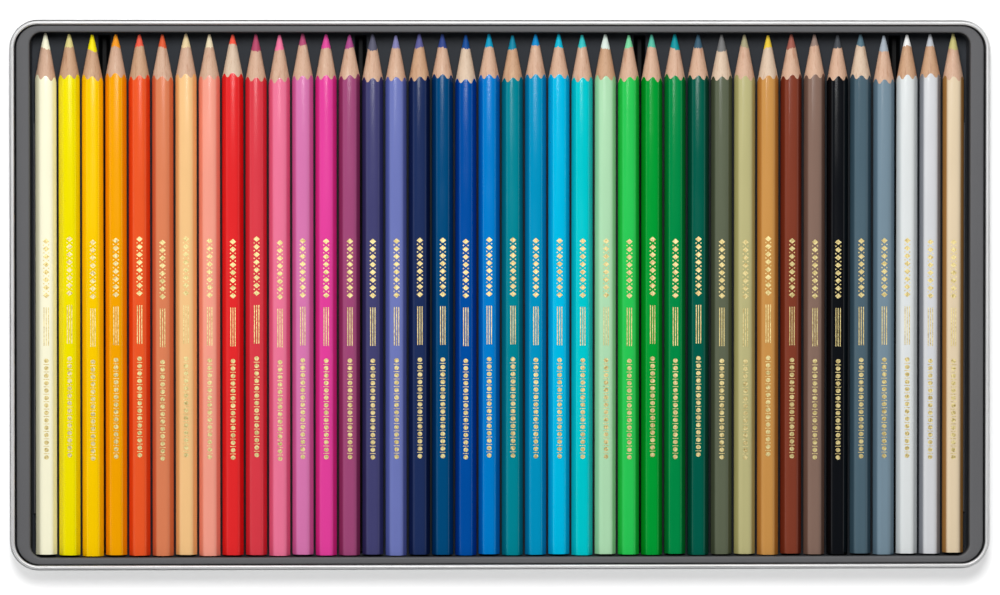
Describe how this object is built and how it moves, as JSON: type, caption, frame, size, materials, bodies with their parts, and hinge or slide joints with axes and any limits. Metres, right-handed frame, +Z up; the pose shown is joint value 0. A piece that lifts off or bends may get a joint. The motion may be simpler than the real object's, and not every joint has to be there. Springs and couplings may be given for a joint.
{
  "type": "colored pencil tin",
  "caption": "Flat slip-lid tin with a formed insert tray holding a row of sharpened hexagonal coloured pencils; the loose lid is parked under the base",
  "frame": {"origin": "on the surface the tin stands on, under the middle of its outline", "axes": "+X along the row of pencils, from the ivory one to the gold one; +Y the way the pencils point; +Z up"},
  "size_m": [0.331, 0.1856, 0.0145],
  "materials": {
    "lid_tinplate": "bright tinplate, satin",
    "base_tinplate": "bright tinplate, satin",
    "tray_plastic": "vacuum-formed dark grey sheet, satin",
    "ivory_lacquer": "gloss ivory lacquer on a wooden casing round a coloured core",
    "lemon_lacquer": "gloss lemon lacquer on a wooden casing round a coloured core",
    "golden_yellow_lacquer": "gloss golden yellow lacquer on a wooden casing round a coloured core",
    "orange_yellow_lacquer": "gloss orange yellow lacquer on a wooden casing round a coloured core",
    "orange_red_lacquer": "gloss orange red lacquer on a wooden casing round a coloured core",
    "terracotta_lacquer": "gloss terracotta lacquer on a wooden casing round a coloured core",
    "apricot_lacquer": "gloss apricot lacquer on a wooden casing round a coloured core",
    "salmon_lacquer": "gloss salmon lacquer on a wooden casing round a coloured core",
    "scarlet_lacquer": "gloss scarlet lacquer on a wooden casing round a coloured core",
    "crimson_lacquer": "gloss crimson lacquer on a wooden casing round a coloured core",
    "pink_lacquer": "gloss pink lacquer on a wooden casing round a coloured core",
    "orchid_lacquer": "gloss orchid lacquer on a wooden casing round a coloured core",
    "magenta_lacquer": "gloss magenta lacquer on a wooden casing round a coloured core",
    "plum_lacquer": "gloss plum lacquer on a wooden casing round a coloured core",
    "indigo_grey_lacquer": "gloss indigo grey lacquer on a wooden casing round a coloured core",
    "periwinkle_lacquer": "gloss periwinkle lacquer on a wooden casing round a coloured core",
    "night_blue_lacquer": "gloss night blue lacquer on a wooden casing round a coloured core",
    "petrol_blue_lacquer": "gloss petrol blue lacquer on a wooden casing round a coloured core",
    "royal_blue_lacquer": "gloss royal blue lacquer on a wooden casing round a coloured core",
    "azure_lacquer": "gloss azure lacquer on a wooden casing round a coloured core",
    "teal_lacquer": "gloss teal lacquer on a wooden casing round a coloured core",
    "cerulean_lacquer": "gloss cerulean lacquer on a wooden casing round a coloured core",
    "cyan_lacquer": "gloss cyan lacquer on a wooden casing round a coloured core",
    "turquoise_lacquer": "gloss turquoise lacquer on a wooden casing round a coloured core",
    "pale_green_lacquer": "gloss pale green lacquer on a wooden casing round a coloured core",
    "light_green_lacquer": "gloss light green lacquer on a wooden casing round a coloured core",
    "green_lacquer": "gloss green lacquer on a wooden casing round a coloured core",
    "emerald_lacquer": "gloss emerald lacquer on a wooden casing round a coloured core",
    "viridian_lacquer": "gloss viridian lacquer on a wooden casing round a coloured core",
    "olive_grey_lacquer": "gloss olive grey lacquer on a wooden casing round a coloured core",
    "khaki_lacquer": "gloss khaki lacquer on a wooden casing round a coloured core",
    "ochre_lacquer": "gloss ochre lacquer on a wooden casing round a coloured core",
    "russet_lacquer": "gloss russet lacquer on a wooden casing round a coloured core",
    "taupe_lacquer": "gloss taupe lacquer on a wooden casing round a coloured core",
    "black_lacquer": "gloss black lacquer on a wooden casing round a coloured core",
    "slate_lacquer": "gloss slate lacquer on a wooden casing round a coloured core",
    "steel_blue_lacquer": "gloss steel blue lacquer on a wooden casing round a coloured core",
    "white_lacquer": "gloss white lacquer on a wooden casing round a coloured core",
    "silver_lacquer": "gloss silver lacquer on a wooden casing round a coloured core",
    "gold_lacquer": "gloss gold lacquer on a wooden casing round a coloured core"
  },
  "bodies": {
    "lid": {"lid": "lid_tinplate"},
    "base_pan": {"base_pan": "base_tinplate"},
    "insert_tray": {"insert_tray": "tray_plastic"},
    "pencil_01": {"pencil_01_ivory": "ivory_lacquer"},
    "pencil_02": {"pencil_02_lemon": "lemon_lacquer"},
    "pencil_03": {"pencil_03_golden_yellow": "golden_yellow_lacquer"},
    "pencil_04": {"pencil_04_orange_yellow": "orange_yellow_lacquer"},
    "pencil_05": {"pencil_05_orange_red": "orange_red_lacquer"},
    "pencil_06": {"pencil_06_terracotta": "terracotta_lacquer"},
    "pencil_07": {"pencil_07_apricot": "apricot_lacquer"},
    "pencil_08": {"pencil_08_salmon": "salmon_lacquer"},
    "pencil_09": {"pencil_09_scarlet": "scarlet_lacquer"},
    "pencil_10": {"pencil_10_crimson": "crimson_lacquer"},
    "pencil_11": {"pencil_11_pink": "pink_lacquer"},
    "pencil_12": {"pencil_12_orchid": "orchid_lacquer"},
    "pencil_13": {"pencil_13_magenta": "magenta_lacquer"},
    "pencil_14": {"pencil_14_plum": "plum_lacquer"},
    "pencil_15": {"pencil_15_indigo_grey": "indigo_grey_lacquer"},
    "pencil_16": {"pencil_16_periwinkle": "periwinkle_lacquer"},
    "pencil_17": {"pencil_17_night_blue": "night_blue_lacquer"},
    "pencil_18": {"pencil_18_petrol_blue": "petrol_blue_lacquer"},
    "pencil_19": {"pencil_19_royal_blue": "royal_blue_lacquer"},
    "pencil_20": {"pencil_20_azure": "azure_lacquer"},
    "pencil_21": {"pencil_21_teal": "teal_lacquer"},
    "pencil_22": {"pencil_22_cerulean": "cerulean_lacquer"},
    "pencil_23": {"pencil_23_cyan": "cyan_lacquer"},
    "pencil_24": {"pencil_24_turquoise": "turquoise_lacquer"},
    "pencil_25": {"pencil_25_pale_green": "pale_green_lacquer"},
    "pencil_26": {"pencil_26_light_green": "light_green_lacquer"},
    "pencil_27": {"pencil_27_green": "green_lacquer"},
    "pencil_28": {"pencil_28_emerald": "emerald_lacquer"},
    "pencil_29": {"pencil_29_viridian": "viridian_lacquer"},
    "pencil_30": {"pencil_30_olive_grey": "olive_grey_lacquer"},
    "pencil_31": {"pencil_31_khaki": "khaki_lacquer"},
    "pencil_32": {"pencil_32_ochre": "ochre_lacquer"},
    "pencil_33": {"pencil_33_russet": "russet_lacquer"},
    "pencil_34": {"pencil_34_taupe": "taupe_lacquer"},
    "pencil_35": {"pencil_35_black": "black_lacquer"},
    "pencil_36": {"pencil_36_slate": "slate_lacquer"},
    "pencil_37": {"pencil_37_steel_blue": "steel_blue_lacquer"},
    "pencil_38": {"pencil_38_white": "white_lacquer"},
    "pencil_39": {"pencil_39_silver": "silver_lacquer"},
    "pencil_40": {"pencil_40_gold": "gold_lacquer"}
  },
  "joints": [
    {"name": "base_pan_lift", "type": "slide", "parent": "lid", "child": "base_pan", "axis": [0, 0, 1], "range_m": [0, 0.02]},
    {"name": "insert_tray_lift", "type": "slide", "parent": "base_pan", "child": "insert_tray", "axis": [0, 0, 1], "range_m": [0, 0.02]},
    {"name": "pencil_01_lift", "type": "slide", "parent": "insert_tray", "child": "pencil_01", "axis": [0, 0, 1], "range_m": [0, 0.02]},
    {"name": "pencil_02_lift", "type": "slide", "parent": "insert_tray", "child": "pencil_02", "axis": [0, 0, 1], "range_m": [0, 0.02]},
    {"name": "pencil_03_lift", "type": "slide", "parent": "insert_tray", "child": "pencil_03", "axis": [0, 0, 1], "range_m": [0, 0.02]},
    {"name": "pencil_04_lift", "type": "slide", "parent": "insert_tray", "child": "pencil_04", "axis": [0, 0, 1], "range_m": [0, 0.02]},
    {"name": "pencil_05_lift", "type": "slide", "parent": "insert_tray", "child": "pencil_05", "axis": [0, 0, 1], "range_m": [0, 0.02]},
    {"name": "pencil_06_lift", "type": "slide", "parent": "insert_tray", "child": "pencil_06", "axis": [0, 0, 1], "range_m": [0, 0.02]},
    {"name": "pencil_07_lift", "type": "slide", "parent": "insert_tray", "child": "pencil_07", "axis": [0, 0, 1], "range_m": [0, 0.02]},
    {"name": "pencil_08_lift", "type": "slide", "parent": "insert_tray", "child": "pencil_08", "axis": [0, 0, 1], "range_m": [0, 0.02]},
    {"name": "pencil_09_lift", "type": "slide", "parent": "insert_tray", "child": "pencil_09", "axis": [0, 0, 1], "range_m": [0, 0.02]},
    {"name": "pencil_10_lift", "type": "slide", "parent": "insert_tray", "child": "pencil_10", "axis": [0, 0, 1], "range_m": [0, 0.02]},
    {"name": "pencil_11_lift", "type": "slide", "parent": "insert_tray", "child": "pencil_11", "axis": [0, 0, 1], "range_m": [0, 0.02]},
    {"name": "pencil_12_lift", "type": "slide", "parent": "insert_tray", "child": "pencil_12", "axis": [0, 0, 1], "range_m": [0, 0.02]},
    {"name": "pencil_13_lift", "type": "slide", "parent": "insert_tray", "child": "pencil_13", "axis": [0, 0, 1], "range_m": [0, 0.02]},
    {"name": "pencil_14_lift", "type": "slide", "parent": "insert_tray", "child": "pencil_14", "axis": [0, 0, 1], "range_m": [0, 0.02]},
    {"name": "pencil_15_lift", "type": "slide", "parent": "insert_tray", "child": "pencil_15", "axis": [0, 0, 1], "range_m": [0, 0.02]},
    {"name": "pencil_16_lift", "type": "slide", "parent": "insert_tray", "child": "pencil_16", "axis": [0, 0, 1], "range_m": [0, 0.02]},
    {"name": "pencil_17_lift", "type": "slide", "parent": "insert_tray", "child": "pencil_17", "axis": [0, 0, 1], "range_m": [0, 0.02]},
    {"name": "pencil_18_lift", "type": "slide", "parent": "insert_tray", "child": "pencil_18", "axis": [0, 0, 1], "range_m": [0, 0.02]},
    {"name": "pencil_19_lift", "type": "slide", "parent": "insert_tray", "child": "pencil_19", "axis": [0, 0, 1], "range_m": [0, 0.02]},
    {"name": "pencil_20_lift", "type": "slide", "parent": "insert_tray", "child": "pencil_20", "axis": [0, 0, 1], "range_m": [0, 0.02]},
    {"name": "pencil_21_lift", "type": "slide", "parent": "insert_tray", "child": "pencil_21", "axis": [0, 0, 1], "range_m": [0, 0.02]},
    {"name": "pencil_22_lift", "type": "slide", "parent": "insert_tray", "child": "pencil_22", "axis": [0, 0, 1], "range_m": [0, 0.02]},
    {"name": "pencil_23_lift", "type": "slide", "parent": "insert_tray", "child": "pencil_23", "axis": [0, 0, 1], "range_m": [0, 0.02]},
    {"name": "pencil_24_lift", "type": "slide", "parent": "insert_tray", "child": "pencil_24", "axis": [0, 0, 1], "range_m": [0, 0.02]},
    {"name": "pencil_25_lift", "type": "slide", "parent": "insert_tray", "child": "pencil_25", "axis": [0, 0, 1], "range_m": [0, 0.02]},
    {"name": "pencil_26_lift", "type": "slide", "parent": "insert_tray", "child": "pencil_26", "axis": [0, 0, 1], "range_m": [0, 0.02]},
    {"name": "pencil_27_lift", "type": "slide", "parent": "insert_tray", "child": "pencil_27", "axis": [0, 0, 1], "range_m": [0, 0.02]},
    {"name": "pencil_28_lift", "type": "slide", "parent": "insert_tray", "child": "pencil_28", "axis": [0, 0, 1], "range_m": [0, 0.02]},
    {"name": "pencil_29_lift", "type": "slide", "parent": "insert_tray", "child": "pencil_29", "axis": [0, 0, 1], "range_m": [0, 0.02]},
    {"name": "pencil_30_lift", "type": "slide", "parent": "insert_tray", "child": "pencil_30", "axis": [0, 0, 1], "range_m": [0, 0.02]},
    {"name": "pencil_31_lift", "type": "slide", "parent": "insert_tray", "child": "pencil_31", "axis": [0, 0, 1], "range_m": [0, 0.02]},
    {"name": "pencil_32_lift", "type": "slide", "parent": "insert_tray", "child": "pencil_32", "axis": [0, 0, 1], "range_m": [0, 0.02]},
    {"name": "pencil_33_lift", "type": "slide", "parent": "insert_tray", "child": "pencil_33", "axis": [0, 0, 1], "range_m": [0, 0.02]},
    {"name": "pencil_34_lift", "type": "slide", "parent": "insert_tray", "child": "pencil_34", "axis": [0, 0, 1], "range_m": [0, 0.02]},
    {"name": "pencil_35_lift", "type": "slide", "parent": "insert_tray", "child": "pencil_35", "axis": [0, 0, 1], "range_m": [0, 0.02]},
    {"name": "pencil_36_lift", "type": "slide", "parent": "insert_tray", "child": "pencil_36", "axis": [0, 0, 1], "range_m": [0, 0.02]},
    {"name": "pencil_37_lift", "type": "slide", "parent": "insert_tray", "child": "pencil_37", "axis": [0, 0, 1], "range_m": [0, 0.02]},
    {"name": "pencil_38_lift", "type": "slide", "parent": "insert_tray", "child": "pencil_38", "axis": [0, 0, 1], "range_m": [0, 0.02]},
    {"name": "pencil_39_lift", "type": "slide", "parent": "insert_tray", "child": "pencil_39", "axis": [0, 0, 1], "range_m": [0, 0.02]},
    {"name": "pencil_40_lift", "type": "slide", "parent": "insert_tray", "child": "pencil_40", "axis": [0, 0, 1], "range_m": [0, 0.02]}
  ]
}
